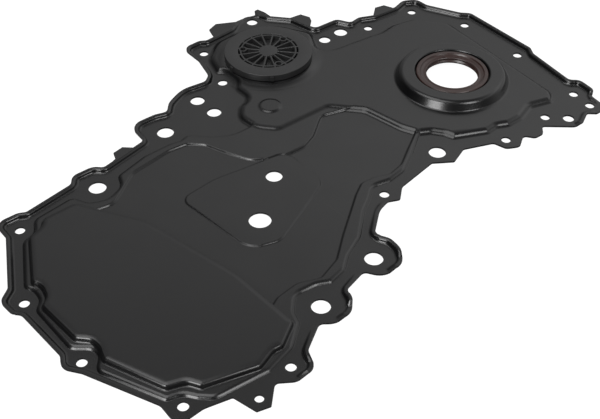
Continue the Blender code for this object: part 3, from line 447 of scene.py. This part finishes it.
class Pressing:
    """The sheet's outlines, the height of its outer face, and its triangles."""

    def __init__(self):
        shallow = (SHALLOW_BEND_RADIUS, SHALLOW_BEND_RADIUS, WALL_ANGLE)
        ledge = (LEDGE_FOOT_RADIUS, LEDGE_CREST_RADIUS, WALL_ANGLE)
        cam = (CAM_FOOT_RADIUS, CAM_CREST_RADIUS, WALL_ANGLE)
        crank = (CRANK_FOOT_RADIUS, CRANK_CREST_RADIUS, WALL_ANGLE)
        cam_top = CAM_HEIGHT - SHOULDER_RISE
        self.edge = rounded(EDGE)
        self.tabs = [np.array(tab) for tab in TABS]
        self.pocket = rounded(POCKET)
        self.middle = rounded(MIDDLE)
        self.cam = rounded(CAM_PLATEAU)
        # Panels: outline of the foot, height of the top, step from what lies round it, bend.
        self.panels = [
            (rounded(LEDGE), LEDGE_HEIGHT, LEDGE_HEIGHT, ledge),
            (self.pocket, POCKET_HEIGHT, LEDGE_HEIGHT - POCKET_HEIGHT, shallow),
            (rounded(TRIANGLE), TRIANGLE_HEIGHT, TRIANGLE_HEIGHT - POCKET_HEIGHT, shallow),
            (self.cam, cam_top, cam_top - LEDGE_HEIGHT, cam),
            (rounded(CRANK_PLATEAU), CRANK_HEIGHT, CRANK_HEIGHT, crank),
        ]
        self.holes = [bolt_circle(*hole) for hole in HOLES]
        self.holes += [circle(CRANK, COLLAR_RADIUS), plug_hole()]

    def height(self, points):
        """Height of the outer face above the flange's outer face."""
        z = np.zeros(len(points))
        for outline, level, step, shape in self.panels:
            if outline is self.pocket:
                level = level - bend(nearest(points, self.middle)[0], *MIDDLE_BEND)
            z += (level - z) * bend(nearest(points, outline)[0], step, *shape) / step
        z += bend(nearest(points, self.cam)[0] - SHOULDER_START, *SHOULDER_BEND)
        inside, share = nearest(points, self.edge)
        z += share * bend(bend_run(*RIM_BEND) + RIM_LIP - inside, *RIM_BEND)
        from_crank = np.hypot(*(points - CRANK).T)
        z += bend(BOSS_RADIUS - from_crank, *BOSS_BEND)
        z -= COLLAR_DEPTH - bend(from_crank - COLLAR_RADIUS, *COLLAR_BEND)
        z += bend(PLUG_SEAT_RADIUS - np.hypot(*(points - PLUG).T), *SEAT_BEND)
        return z + bend(BUMP_RADIUS - np.hypot(*(points - BUMP).T), *BUMP_BEND)

    def normals(self, points):
        """Outward normals of the outer face."""
        reach = 0.04
        x = self.height(points + (reach, 0)) - self.height(points - (reach, 0))
        y = self.height(points + (0, reach)) - self.height(points - (0, reach))
        normal = np.stack([-x, -y, np.full(len(points), 2 * reach)], 1)
        return normal / np.linalg.norm(normal, axis=1)[:, None]

    def lines(self):
        """Closed lines of points that the triangles follow."""
        found = self.holes + self.tabs
        found += [bolt_circle(*hole, EDGE_ROUND) for hole in HOLES]
        found += [inset(self.edge, d) for d in [0, EDGE_ROUND]]
        found += [inset(self.edge, RIM_LIP + d) for d in bend_rows(*RIM_BEND)]
        for outline, _, step, shape in self.panels:
            found += [inset(outline, d) for d in bend_rows(step, *shape)]
        found += [inset(self.middle, d) for d in bend_rows(*MIDDLE_BEND)]
        found += [inset(self.cam, SHOULDER_START + d) for d in bend_rows(*SHOULDER_BEND)]
        found += [circle(CRANK, BOSS_RADIUS - d) for d in bend_rows(*BOSS_BEND)]
        found += [circle(CRANK, COLLAR_RADIUS + d) for d in bend_rows(*COLLAR_BEND, COLLAR_ROWS)[1:]]
        found += [circle(PLUG, PLUG_SEAT_RADIUS - d) for d in bend_rows(*SEAT_BEND)]
        found += [circle(BUMP, BUMP_RADIUS - d, BUMP_SIDES) for d in bend_rows(*BUMP_BEND)]
        return found

    def triangles(self):
        """Plan points and the triangles between them, with the holes left out."""
        points = []
        edges = []
        for line in self.lines():
            first = len(points)
            points += [Vector(p[:2]) for p in line]
            edges += [(first + k, first + (k + 1) % len(line)) for k in range(len(line))]
        verts, _, faces, *_ = delaunay_2d_cdt(points, edges, [], 0, JOIN_GAP, False)
        verts = np.array(verts)
        faces = np.array(faces)
        middle = verts[faces].mean(1)
        keep = nearest(middle, self.edge)[0] > 0
        for tab in self.tabs:
            keep |= nearest(middle, tab)[0] > 0
        for hole in self.holes:
            near = np.abs(middle - hole.mean(0)).max(1) < HOLE_REACH
            keep[near] &= nearest(middle[near], hole)[0] < 0
        used, index = np.unique(faces[keep], return_inverse=True)
        return verts[used], index.reshape(-1, 3)


def pressed_shell(name):
    """The sheet as a closed shell: its outer face, its inner face one thickness below, and its cut edges."""
    pressing = Pressing()
    plan, faces = pressing.triangles()
    normals = pressing.normals(plan)
    outer = np.column_stack([plan, SHEET + pressing.height(plan)])
    inner = outer - normals * SHEET
    count = len(plan)
    # A triangle's edge is a cut edge where no other triangle has it the other way round.
    ends = np.concatenate([faces[:, [0, 1]], faces[:, [1, 2]], faces[:, [2, 0]]])
    keys = ends[:, 0].astype(np.int64) * count + ends[:, 1]
    back = ends[:, 1].astype(np.int64) * count + ends[:, 0]
    cut = ends[~np.isin(keys, back)]
    outer[np.unique(cut), 2] -= EDGE_DROP
    places = np.concatenate([outer, inner])
    places[:, :2] += np.array(AXIS[:2]) / MM
    low, high = (np.array(corner) / MM for corner in CAD_BOX)
    places = np.clip(places, low, high) * MM
    walls = np.column_stack([cut[:, 0], cut[:, 0] + count, cut[:, 1] + count, cut[:, 1]])
    mesh = bpy.data.meshes.new(name)
    all_faces = faces.tolist() + (faces[:, ::-1] + count).tolist() + walls.tolist()
    mesh.from_pydata(places.tolist(), [], all_faces)
    mesh.shade_smooth()
    wall_normals = np.repeat([tuple(face.normal) for face in mesh.polygons[2 * len(faces) :]], 4, axis=0)
    both = np.concatenate([normals[faces.ravel()], -normals[faces[:, ::-1].ravel()], wall_normals])
    mesh.normals_split_custom_set(both.tolist())
    return mesh


class Socket:
    """A node's output, so that maths on it reads as an expression and adds its nodes."""

    def __init__(self, tree, socket):
        self.tree = tree
        self.socket = socket

    def maths(self, operation, *values):
        return self.tree.node("ShaderNodeMath", {"operation": operation}, *values)

    def __add__(self, other):
        return self.maths("ADD", self, other)

    def __sub__(self, other):
        return self.maths("SUBTRACT", self, other)

    def __mul__(self, other):
        return self.maths("MULTIPLY", self, other)

    def clamped(self):
        """The value kept from 0 to 1."""
        return self.maths("MINIMUM", self.maths("MAXIMUM", self, 0.0), 1.0)


class Tree:
    """A node tree that is written as calls: each returns a wrapped output."""

    def __init__(self, tree):
        self.tree = tree

    def feed(self, socket, value):
        """Links a wrapped output to an input, or gives the input a plain value."""
        if isinstance(value, Socket):
            self.tree.links.new(value.socket, socket)
        else:
            socket.default_value = value

    def node(self, kind, settings, *values, output=0, **named):
        made = self.tree.nodes.new(kind)
        for name, value in settings.items():
            setattr(made, name, value)
        for key, value in list(enumerate(values)) + list(named.items()):
            self.feed(made.inputs[key.replace("_", " ") if isinstance(key, str) else key], value)
        return Socket(self, made.outputs[output])

    def end(self, kind, value):
        """Adds the tree's output node and links a value to its first input."""
        self.feed(self.tree.nodes.new(kind).inputs[0], value)

    def ramp(self, value, stops):
        """Grey levels at places from 0 to 1."""
        made = self.node("ShaderNodeValToRGB", {}, value)
        elements = made.socket.node.color_ramp.elements
        while len(elements) < len(stops):
            elements.new(1.0)
        for element, (place, level) in zip(elements, stops):
            element.position = place
            element.color = (level, level, level, 1)
        return made

    def noise(self, place, size_mm, detail=2.0):
        """Noise whose features are about a size in millimetres."""
        return self.node("ShaderNodeTexNoise", {}, Vector=place, Scale=1 / (size_mm * MM), Detail=detail)

    def mix(self, factor, first, second):
        made = self.tree.nodes.new("ShaderNodeMix")
        made.data_type = "RGBA"
        # Inputs 6 and 7 and output 2 are the ones for colours.
        for place, value in zip((0, 6, 7), (factor, first, second)):
            self.feed(made.inputs[place], value)
        return Socket(self, made.outputs[2])


def cleared(owner):
    """The emptied node tree of a material or a world."""
    owner.use_nodes = True
    owner.node_tree.nodes.clear()
    return Tree(owner.node_tree)


def finish(name, light, dark, rough, rough_span, patch_mm, grain_mm, grain_height_mm, metallic=0.0):
    """A coated, moulded or drawn surface: colour and gloss drift in patches over a fine grain."""
    made = bpy.data.materials.new(name)
    tree = cleared(made)
    place = tree.node("ShaderNodeTexCoord", {}, output=OBJECT)
    patches = tree.noise(place, patch_mm, detail=3.0)
    specks = tree.noise(place, grain_mm * 3)
    grain = tree.noise(place, grain_mm, detail=1.0)
    colour = tree.mix((patches * 0.7 + specks * 0.3).clamped(), (*light, 1), (*dark, 1))
    roughness = (patches - 0.5) * rough_span + (specks - 0.5) * (rough_span / 2) + rough
    bump = tree.node("ShaderNodeBump", {}, Strength=1.0, Distance=grain_height_mm * MM, Height=grain)
    settings = {"Base_Color": colour, "Roughness": roughness, "Metallic": metallic, "Normal": bump}
    tree.end("ShaderNodeOutputMaterial", tree.node("ShaderNodeBsdfPrincipled", {}, **settings))
    return made


def turned_mesh(name, profile, centre, low_mm, sides=ROUND_SIDES):
    """A closed mesh turned about a vertical axis, from pairs of radius and height down its outer side."""
    angles = np.arange(sides) * 2 * math.pi / sides
    verts = []
    rings = []
    for radius, height in profile:
        if radius < NO_RADIUS:
            rings.append([len(verts)] * sides)
            verts.append((0, 0, height))
            continue
        rings.append(list(range(len(verts), len(verts) + sides)))
        verts += [(radius * math.cos(a), radius * math.sin(a), height) for a in angles]
    faces = []
    closed = profile[0][0] > NO_RADIUS
    for upper, lower in zip(rings, rings[1:] + (rings[:1] if closed else [])):
        for k in range(sides):
            n = (k + 1) % sides
            corners = list(dict.fromkeys((upper[k], lower[k], lower[n], upper[n])))
            if len(corners) > 2:
                faces.append(corners)
    mesh = bpy.data.meshes.new(name)
    at = Vector((centre[0], centre[1], low_mm * MM))
    mesh.from_pydata([at + Vector(v) * MM for v in verts], [], faces)
    return mesh


def wire_profile(radius, height, wire):
    """Profile of a round wire bent into a ring, from the ring's radius and height and the wire's diameter."""
    turns = np.arange(WIRE_SIDES) * -2 * math.pi / WIRE_SIDES
    return [(radius + math.cos(a) * wire / 2, height + math.sin(a) * wire / 2) for a in turns]


def rounded_profile(profile, radius, steps=4, closed=True):
    """A profile whose corners are rounded, the first and last ones too where it is closed."""
    count = len(profile)
    points = []
    for i, corner in enumerate(profile):
        if not closed and i in (0, count - 1):
            points.append(corner)
            continue
        here = Vector(corner)
        back = Vector(profile[i - 1]) - here
        ahead = Vector(profile[(i + 1) % count]) - here
        half = back.angle(ahead, math.pi) / 2
        longest = PROFILE_SIDE_SHARE * min(back.length, ahead.length)
        reach = min(radius / max(math.tan(half), 1e-3), longest)
        start = here + back.normalized() * reach
        end = here + ahead.normalized() * reach
        for k in range(steps + 1):
            t = k / steps
            points.append(tuple(start * (1 - t) ** 2 + here * 2 * t * (1 - t) + end * t**2))
    return points


def prism(shape, outline, low, high):
    """Adds a closed prism between two heights to a bmesh, from an anticlockwise outline."""
    bottom = [shape.verts.new((x * MM, y * MM, low * MM)) for x, y in outline]
    top = [shape.verts.new((x * MM, y * MM, high * MM)) for x, y in outline]
    for k in range(len(outline)):
        n = (k + 1) % len(outline)
        shape.faces.new((bottom[k], bottom[n], top[n], top[k]))
    shape.faces.new(top)
    shape.faces.new(bottom[::-1])


def show(mesh, material, slot, *nodes, sharp_deg=35):
    """Puts a mesh in the scene as a piece on the one body, standing for its CAD nodes."""
    piece = bpy.data.objects.new(mesh.name, mesh)
    bpy.context.scene.collection.objects.link(piece)
    mesh.materials.clear()
    mesh.materials.append(material)
    if sharp_deg:
        mesh.shade_smooth()
        mesh.set_sharp_from_angle(angle=math.radians(sharp_deg))
    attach(piece, "root")
    if nodes:
        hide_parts(*nodes)
    return piece


def surface(name):
    """One of the cover's finishes, made once."""
    if name in bpy.data.materials:
        return bpy.data.materials[name]
    cover = bpy.context.scene.timing_cover
    # Colour, darker colour, roughness and its drift, then the sizes of patches and grain and its height.
    kinds = {
        "satin black coat": (cover.coat_colour, cover.coat_dark, cover.coat_roughness, 0.08, 40, 0.5, 0.003),
        "moulded black plastic": (cover.plastic_colour, cover.plastic_dark, 0.42, 0.08, 12, 0.35, 0.008),
        "brown seal rubber": (cover.seal_colour, cover.seal_dark, 0.34, 0.12, 5, 0.4, 0.008),
        "black o-ring rubber": ((0.014, 0.014, 0.014), (0.009, 0.009, 0.009), 0.5, 0.1, 4, 0.3, 0.005),
        "bright spring wire": ((0.52, 0.52, 0.53), (0.42, 0.42, 0.43), 0.28, 0.08, 2, 0.2, 0.002, 1.0),
    }
    return finish(name, *kinds[name])


class CoverSizes(bpy.types.PropertyGroup):
    """Sizes of the plug and its ribs, and colours of the finishes."""

    plug_diameter: FloatProperty(
        name="Plug diameter",
        description="Diameter of the access plug",
        default=PLUG_HIGH.x - PLUG_LOW.x,
        unit="LENGTH",
    )
    plug_height: FloatProperty(
        name="Plug height", description="Height of the plug over its seat", default=0.0056, unit="LENGTH"
    )
    field_diameter: FloatProperty(
        name="Field diameter", description="Diameter of the plug's ribbed field", default=0.048, unit="LENGTH"
    )
    hub_diameter: FloatProperty(
        name="Hub diameter",
        description="Diameter of the plain middle of the field",
        default=0.015,
        unit="LENGTH",
    )
    rib_count: IntProperty(name="Ribs", description="Ribs round the plug's field", default=16, min=3)
    rib_wall: FloatProperty(name="Rib wall", description="Thickness of a rib", default=0.0013, unit="LENGTH")
    pocket_depth: FloatProperty(
        name="Pocket depth",
        description="Depth of the plug's field under its ribs",
        default=0.004,
        unit="LENGTH",
    )
    coat_colour: FloatVectorProperty(
        name="Coat",
        description="Colour of the steel's coating",
        default=(0.0045, 0.0045, 0.0047),
        subtype="COLOR",
    )
    coat_dark: FloatVectorProperty(
        name="Coat, dark",
        description="Darker patches of the coating",
        default=(0.0032, 0.0032, 0.0034),
        subtype="COLOR",
    )
    coat_roughness: FloatProperty(
        name="Coat roughness",
        description="Roughness of the coating",
        default=0.24,
        subtype="FACTOR",
        min=0,
        max=1,
    )
    plastic_colour: FloatVectorProperty(
        name="Plug", description="Colour of the plug", default=(0.014, 0.014, 0.0143), subtype="COLOR"
    )
    plastic_dark: FloatVectorProperty(
        name="Plug, dark",
        description="Darker patches of the plug",
        default=(0.011, 0.011, 0.0112),
        subtype="COLOR",
    )
    seal_colour: FloatVectorProperty(
        name="Seal", description="Colour of the shaft seal", default=(0.036, 0.016, 0.013), subtype="COLOR"
    )
    seal_dark: FloatVectorProperty(
        name="Seal, dark",
        description="Darker patches of the seal",
        default=(0.015, 0.01, 0.009),
        subtype="COLOR",
    )


class COVER_OT_pressing(bpy.types.Operator):
    """Builds the pressed sheet: flange, holes, panels, boss, collar and plug seat"""

    bl_idname = "cover.pressing"
    bl_label = "Pressing"

    def execute(self, context):
        mesh = pressed_shell("pressed_cover")
        show(mesh, surface("satin black coat"), "black_coated_steel", "cover_pressing", sharp_deg=0)
        return {"FINISHED"}


class COVER_OT_seal(bpy.types.Operator):
    """Builds the shaft seal and its garter spring"""

    bl_idname = "cover.seal"
    bl_label = "Crank seal"

    def execute(self, context):
        outer = SEAL_OUTER / 2
        bore = SHAFT_BORE / 2
        top = SEAL_WIDTH
        spring = bore + SPRING_INSET + SPRING_WIRE / 2
        # From the outer face down the outside, through the hollow inside, round the lips and back.
        profile = [
            (outer - 3.0, top), (outer - 0.5, top), (outer, top - 0.5), (outer, 0.5), (outer - 0.5, 0),
            (outer - 1.7, 0), (outer - 2.2, 0.6), (outer - 2.2, top - 3.2), (outer - 2.8, top - 2.8),
            (spring + 0.4, top - 3.0), (bore + 1.9, top - 3.7), (bore + 1.85, 2.0), (bore + 1.7, 1.5),
            (bore + 0.9, 1.6), (bore, 3.0), (bore + 1.1, 4.6), (bore, top - 1.8), (bore + 0.6, top - 1.2),
            (bore + 2.4, top - 1.7), (outer - 3.6, top - 1.1),
        ]
        low = SEAL_LOW.z / MM
        mesh = turned_mesh("crank_shaft_seal", rounded_profile(profile, SEAL_ROUND), AXIS, low)
        show(mesh, surface("brown seal rubber"), "seal_rubber", "crank_seal")
        mesh = turned_mesh("garter_spring_ring", wire_profile(spring, SPRING_RISE, SPRING_WIRE), AXIS, low)
        show(mesh, surface("bright spring wire"), "spring_steel", "seal_garter_spring")
        return {"FINISHED"}


class COVER_OT_plug(bpy.types.Operator):
    """Builds the access plug with its ribbed field, spigot, lugs and O-ring"""

    bl_idname = "cover.plug"
    bl_label = "Access plug"

    def execute(self, context):
        cover = context.scene.timing_cover
        top, floor, edge, field, hub = plug_sizes(cover)
        centre = AXIS + Vector((*PLUG, 0)) * MM
        seat = PLUG_HIGH.z / MM - top
        spigot = PLUG_SPIGOT / 2
        spigot_low = PLUG_LOW.z / MM - seat
        ring = spigot + CLEARANCE + O_RING_WIRE / 2
        groove = ring + O_RING_WIRE / 2 + CLEARANCE
        roof = O_RING_WIRE + 2 * CLEARANCE
        profile = [
            (0, top), (hub, top), (hub + PLUG_DRAFT, floor), (field - PLUG_DRAFT, floor), (field, top),
            (edge, top), (edge, CLEARANCE), (groove, CLEARANCE), (groove, roof), (spigot, roof),
            (spigot, spigot_low), (spigot - PLUG_WALL, spigot_low), (spigot - PLUG_WALL, floor - PLUG_WALL),
            (0, floor - PLUG_WALL),
        ]
        profile = rounded_profile(profile, PLUG_ROUND, 3, closed=False)
        mesh = turned_mesh("plug_body", profile, centre, seat)
        show(mesh, surface("moulded black plastic"), "plug_plastic", "access_plug")
        mesh = ribbed_field(cover, centre, seat)
        show(mesh, surface("moulded black plastic"), "plug_plastic", "access_plug")
        wire = wire_profile(ring, CLEARANCE + O_RING_WIRE / 2, O_RING_WIRE)
        mesh = turned_mesh("plug_o_ring_seal", wire, centre, seat)
        show(mesh, surface("black o-ring rubber"), "o_ring_rubber", "plug_o_ring")
        return {"FINISHED"}


def plug_sizes(cover):
    """The plug's top and its field's floor over the seat, then the radii of its edge, field and hub."""
    top = cover.plug_height / MM
    floor = top - cover.pocket_depth / MM
    diameters = (cover.plug_diameter, cover.field_diameter, cover.hub_diameter)
    return top, floor, *(diameter / MM / 2 for diameter in diameters)


def repeat_group():
    """A Geometry Nodes group that repeats a shape round an axis, and what a modifier calls its inputs."""
    tree = bpy.data.node_groups.new("ribs round a hub", "GeometryNodeTree")
    kinds = {
        "Geometry": "NodeSocketGeometry", "Count": "NodeSocketInt", "Turn": "NodeSocketFloat",
        "Material": "NodeSocketMaterial",
    }
    face = tree.interface
    sockets = {key: face.new_socket(key, in_out="INPUT", socket_type=kind) for key, kind in kinds.items()}
    face.new_socket("Geometry", in_out="OUTPUT", socket_type="NodeSocketGeometry")
    nodes = Tree(tree)
    start = tree.nodes.new("NodeGroupInput")
    given = {key: Socket(nodes, start.outputs[key]) for key in kinds}
    line = nodes.node("GeometryNodeMeshLine", {"mode": "OFFSET"}, Count=given["Count"], Offset=(0, 0, 0))
    index = nodes.node("GeometryNodeInputIndex", {})
    turn = nodes.node("ShaderNodeCombineXYZ", {}, Z=index * given["Turn"])
    copies = nodes.node("GeometryNodeInstanceOnPoints", {}, line, Instance=given["Geometry"], Rotation=turn)
    plain = nodes.node("GeometryNodeRealizeInstances", {}, copies)
    coated = nodes.node("GeometryNodeSetMaterial", {}, plain, Material=given["Material"])
    nodes.end("NodeGroupOutput", coated)
    return tree, {key: socket.identifier for key, socket in sockets.items()}


def ribbed_field(cover, centre, seat):
    """The plug's ribs, thin ring, sockets, lugs and tongues, repeated with Geometry Nodes round the hub."""
    top, floor, edge, _, _ = plug_sizes(cover)
    group, inputs = repeat_group()
    joined = bmesh.new()
    for one, count in plug_repeats(cover):
        mesh = bpy.data.meshes.new("plug_detail")
        one.to_mesh(mesh)
        one.free()
        detail = bpy.data.objects.new("plug_detail", mesh)
        bpy.context.scene.collection.objects.link(detail)
        change = detail.modifiers.new("copies", "NODES")
        change.node_group = group
        change[inputs["Count"]] = count
        change[inputs["Turn"]] = 2 * math.pi / count
        change[inputs["Material"]] = surface("moulded black plastic")
        graph = bpy.context.evaluated_depsgraph_get()
        joined.from_mesh(bpy.data.meshes.new_from_object(detail.evaluated_get(graph)))
        bpy.data.objects.remove(detail)
    half = TONGUE_WIDTH / 2 / edge
    for a in TONGUES:
        outline = sector(edge - ROOT_DEPTH, edge + TONGUE_REACH, a - half, a + half, 2)
        prism(joined, outline, TONGUE_MARGIN, top - TONGUE_MARGIN)
    mesh = bpy.data.meshes.new("plug_ribs")
    joined.to_mesh(mesh)
    joined.free()
    mesh = with_sockets(mesh, floor, top)
    mesh.transform(Matrix.Translation((centre.x, centre.y, seat * MM)))
    return mesh


def with_sockets(mesh, floor, top):
    """The plug's details with its drive sockets bored through them."""
    piece = bpy.data.objects.new("plug_ribs", mesh)
    bores = bmesh.new()
    for k in range(SOCKETS):
        turn = SOCKET_TURN + k * 2 * math.pi / SOCKETS
        post(bores, SOCKET_HOLE / 2, floor - BORE_MARGIN, top + BORE_MARGIN, turn)
    bore_mesh = bpy.data.meshes.new("socket_bores")
    bores.to_mesh(bore_mesh)
    bores.free()
    tool = bpy.data.objects.new("socket_bores", bore_mesh)
    for made in (piece, tool):
        bpy.context.scene.collection.objects.link(made)
    change = piece.modifiers.new("sockets", "BOOLEAN")
    change.operation = "DIFFERENCE"
    change.object = tool
    change.solver = "EXACT"
    change.use_self = True
    graph = bpy.context.evaluated_depsgraph_get()
    made = bpy.data.meshes.new_from_object(piece.evaluated_get(graph))
    for spare in (piece, tool):
        bpy.data.objects.remove(spare)
    made.name = "plug_details"
    return made


def post(shape, radius, low, high, turn):
    """Adds a round post at a socket's place to a bmesh."""
    place = Vector((math.cos(turn) * SOCKET_RADIUS, math.sin(turn) * SOCKET_RADIUS, (low + high) / 2))
    bmesh.ops.create_cone(
        shape,
        cap_ends=True,
        segments=POST_SIDES,
        radius1=radius * MM,
        radius2=radius * MM,
        depth=(high - low) * MM,
        matrix=Matrix.Translation(place * MM),
    )


def sector(inner, outer, start, end, steps):
    """Outline of a piece of a ring."""
    angles = [start + (end - start) * k / steps for k in range(steps + 1)]
    outline = [(outer * math.cos(a), outer * math.sin(a)) for a in angles]
    return outline + [(inner * math.cos(a), inner * math.sin(a)) for a in reversed(angles)]


def plug_repeats(cover):
    """One of each detail that repeats round the plug, with its count: rib, ring, bayonet lug, socket post."""
    top, floor, _, field, hub = plug_sizes(cover)
    wall = cover.rib_wall / MM
    spigot = PLUG_SPIGOT / 2
    half = PLUG_LUG_ANGLE / 2
    start = hub - ROOT_DEPTH
    end = field + DETAIL_SINK
    rib = [(start, -wall / 2), (end, -wall / 2), (end, wall / 2), (start, wall / 2)]
    ring_edge = field - RING_INSET
    ring = sector(ring_edge - wall, ring_edge, 0, 2 * math.pi / cover.rib_count, 6)
    lug = sector(spigot - ROOT_DEPTH, spigot + PLUG_LUG_REACH, -half, half, 8)
    lug_low = (PLUG_LOW.z - PLUG_HIGH.z) / MM + top + LUG_RISE
    found = []
    for outline, low, high, count in (
        (rib, floor - DETAIL_SINK, top - RIB_TOP_GAP, cover.rib_count),
        (ring, floor - DETAIL_SINK, top - RIB_TOP_GAP, cover.rib_count),
        (lug, lug_low, -SHEET - CLEARANCE, PLUG_LUGS),
    ):
        one = bmesh.new()
        prism(one, outline, low, high)
        sharp = [e for e in one.edges if all(v.co.z > (low + high) / 2 * MM for v in e.verts)]
        bmesh.ops.bevel(one, geom=sharp, offset=DETAIL_BEVEL * MM, segments=1, affect="EDGES")
        found.append((one, count))
    one = bmesh.new()
    post(one, SOCKET_WALL / 2, floor - DETAIL_SINK, top - POST_TOP_GAP, SOCKET_TURN)
    found.append((one, SOCKETS))
    return found


class COVER_OT_stage(bpy.types.Operator):
    """Sets the floor, the lamps, the sky and the camera"""

    bl_idname = "cover.stage"
    bl_label = "Stage"

    def execute(self, context):
        scene = context.scene
        scene.view_settings.view_transform = "Standard"
        mesh = bpy.data.meshes.new("studio_floor")
        low = CAD_BOX[0][2] - FLOOR_GAP
        corners = [(-FLOOR_REACH, -FLOOR_REACH), (FLOOR_REACH, -FLOOR_REACH)]
        corners += [(FLOOR_REACH, FLOOR_REACH), (-FLOOR_REACH, FLOOR_REACH)]
        mesh.from_pydata([(x, y, low) for x, y in corners], [], [(0, 1, 2, 3)])
        mesh.materials.append(floor_paper())
        floor = bpy.data.objects.new("studio_floor", mesh)
        scene.collection.objects.link(floor)
        sky(scene)
        for lamp in LAMPS:
            scene.collection.objects.link(softbox(*lamp))
        camera = photo_camera()
        scene.collection.objects.link(camera)
        scene.camera = camera
        return {"FINISHED"}


def softbox(name, side_deg, height_deg, distance, wide, tall, level):
    """A lamp that faces the part, set round it from the camera's side."""
    turn = math.radians(side_deg)
    rise = math.radians(height_deg)
    flat = ASIDE * math.sin(turn) - AHEAD * math.cos(turn)
    out = flat * math.cos(rise) + Vector((0, 0, math.sin(rise)))
    data = bpy.data.lights.new(name, "AREA")
    data.shape = "RECTANGLE"
    data.size = wide
    data.size_y = tall
    data.energy = level * math.pi * wide * tall
    lamp = bpy.data.objects.new(name, data)
    lamp.location = out * distance
    lamp.rotation_euler = out.to_track_quat("Z", "Y").to_euler()
    return lamp


def photo_camera():
    """The camera that took the photograph."""
    lens = bpy.data.cameras.new("photo_camera")
    lens.sensor_width = SENSOR_WIDTH
    lens.lens = SENSOR_WIDTH * FOCAL_PIXELS / PHOTO_WIDTH
    lens.shift_y = -1 / PHOTO_WIDTH
    lens.clip_start = 0.05
    lens.clip_end = 50
    camera = bpy.data.objects.new("photo_camera", lens)
    forward = AHEAD * math.cos(CAMERA_TILT) - Vector((0, 0, math.sin(CAMERA_TILT)))
    matrix = Matrix((ASIDE, ASIDE.cross(forward), -forward)).transposed().to_4x4()
    matrix.translation = Vector((AXIS.x, AXIS.y, SHEET * MM)) + CAMERA_PLACE * MM
    camera.matrix_world = matrix
    return camera


def floor_paper():
    """White paper: seen as the white background, and darker where the part keeps the light off it."""
    made = bpy.data.materials.new("white floor paper")
    tree = cleared(made)
    rays = tree.tree.nodes.new("ShaderNodeLightPath")
    camera = Socket(tree, rays.outputs["Is Camera Ray"])
    glossy = Socket(tree, rays.outputs["Is Glossy Ray"])
    through = Socket(tree, rays.outputs["Is Transmission Ray"])
    seen = (camera + glossy * FLOOR_IN_GLOSS + through).clamped()
    grain = tree.noise(tree.node("ShaderNodeTexCoord", {}, output=OBJECT), PAPER_GRAIN_MM)
    light, dark = ((grey, grey, grey, 1) for grey in PAPER_GREYS)
    diffuse = tree.node("ShaderNodeBsdfDiffuse", {}, Color=tree.mix(grain, light, dark))
    glow = tree.node("ShaderNodeEmission", {}, Strength=seen * FLOOR_GLOW)
    tree.end("ShaderNodeOutputMaterial", tree.node("ShaderNodeAddShader", {}, diffuse, glow))
    return made


def sky(scene):
    """Soft studio surroundings, brightest beyond the part and about 40 degrees up, dim over the camera."""
    world = bpy.data.worlds.new("studio surroundings")
    tree = cleared(world)
    direction = tree.node("ShaderNodeTexCoord", {}, output=GENERATED)
    split = tree.node("ShaderNodeSeparateXYZ", {}, direction)
    east, north, up = (Socket(tree, output) for output in split.socket.node.outputs)
    far = ((east * AHEAD.x + north * AHEAD.y) * SKY_SLOPE + 0.5).clamped()
    side = east * ASIDE.x + north * ASIDE.y
    strength = tree.ramp(up, SKY_LEVELS) * (far * (1 - SKY_NEAR) + SKY_NEAR) * (side * SKY_SIDE + 1.0)
    glow = tree.node("ShaderNodeBackground", {}, Color=(1, 1, 1, 1), Strength=strength)
    tree.end("ShaderNodeOutputWorld", glow)
    scene.world = world


class COVER_PT_panel(bpy.types.Panel):
    """Lists the cover's pieces and their sizes"""

    bl_idname = "COVER_PT_panel"
    bl_label = "Timing Cover"
    bl_space_type = "VIEW_3D"
    bl_region_type = "UI"
    bl_category = "Timing Cover"

    def draw(self, context):
        for kind in OPERATORS:
            self.layout.operator(kind.bl_idname)
        for name in CoverSizes.__annotations__:
            self.layout.prop(context.scene.timing_cover, name)


OPERATORS = (COVER_OT_pressing, COVER_OT_seal, COVER_OT_plug, COVER_OT_stage)
CLASSES = (CoverSizes, *OPERATORS, COVER_PT_panel)


def register():
    for kind in CLASSES:
        bpy.utils.register_class(kind)
    bpy.types.Scene.timing_cover = PointerProperty(type=CoverSizes)


def unregister():
    del bpy.types.Scene.timing_cover
    for kind in reversed(CLASSES):
        bpy.utils.unregister_class(kind)


def main():
    register()
    bpy.ops.cover.pressing()
    bpy.ops.cover.seal()
    bpy.ops.cover.plug()
    bpy.ops.cover.stage()


if __name__ == "__main__":
    main()
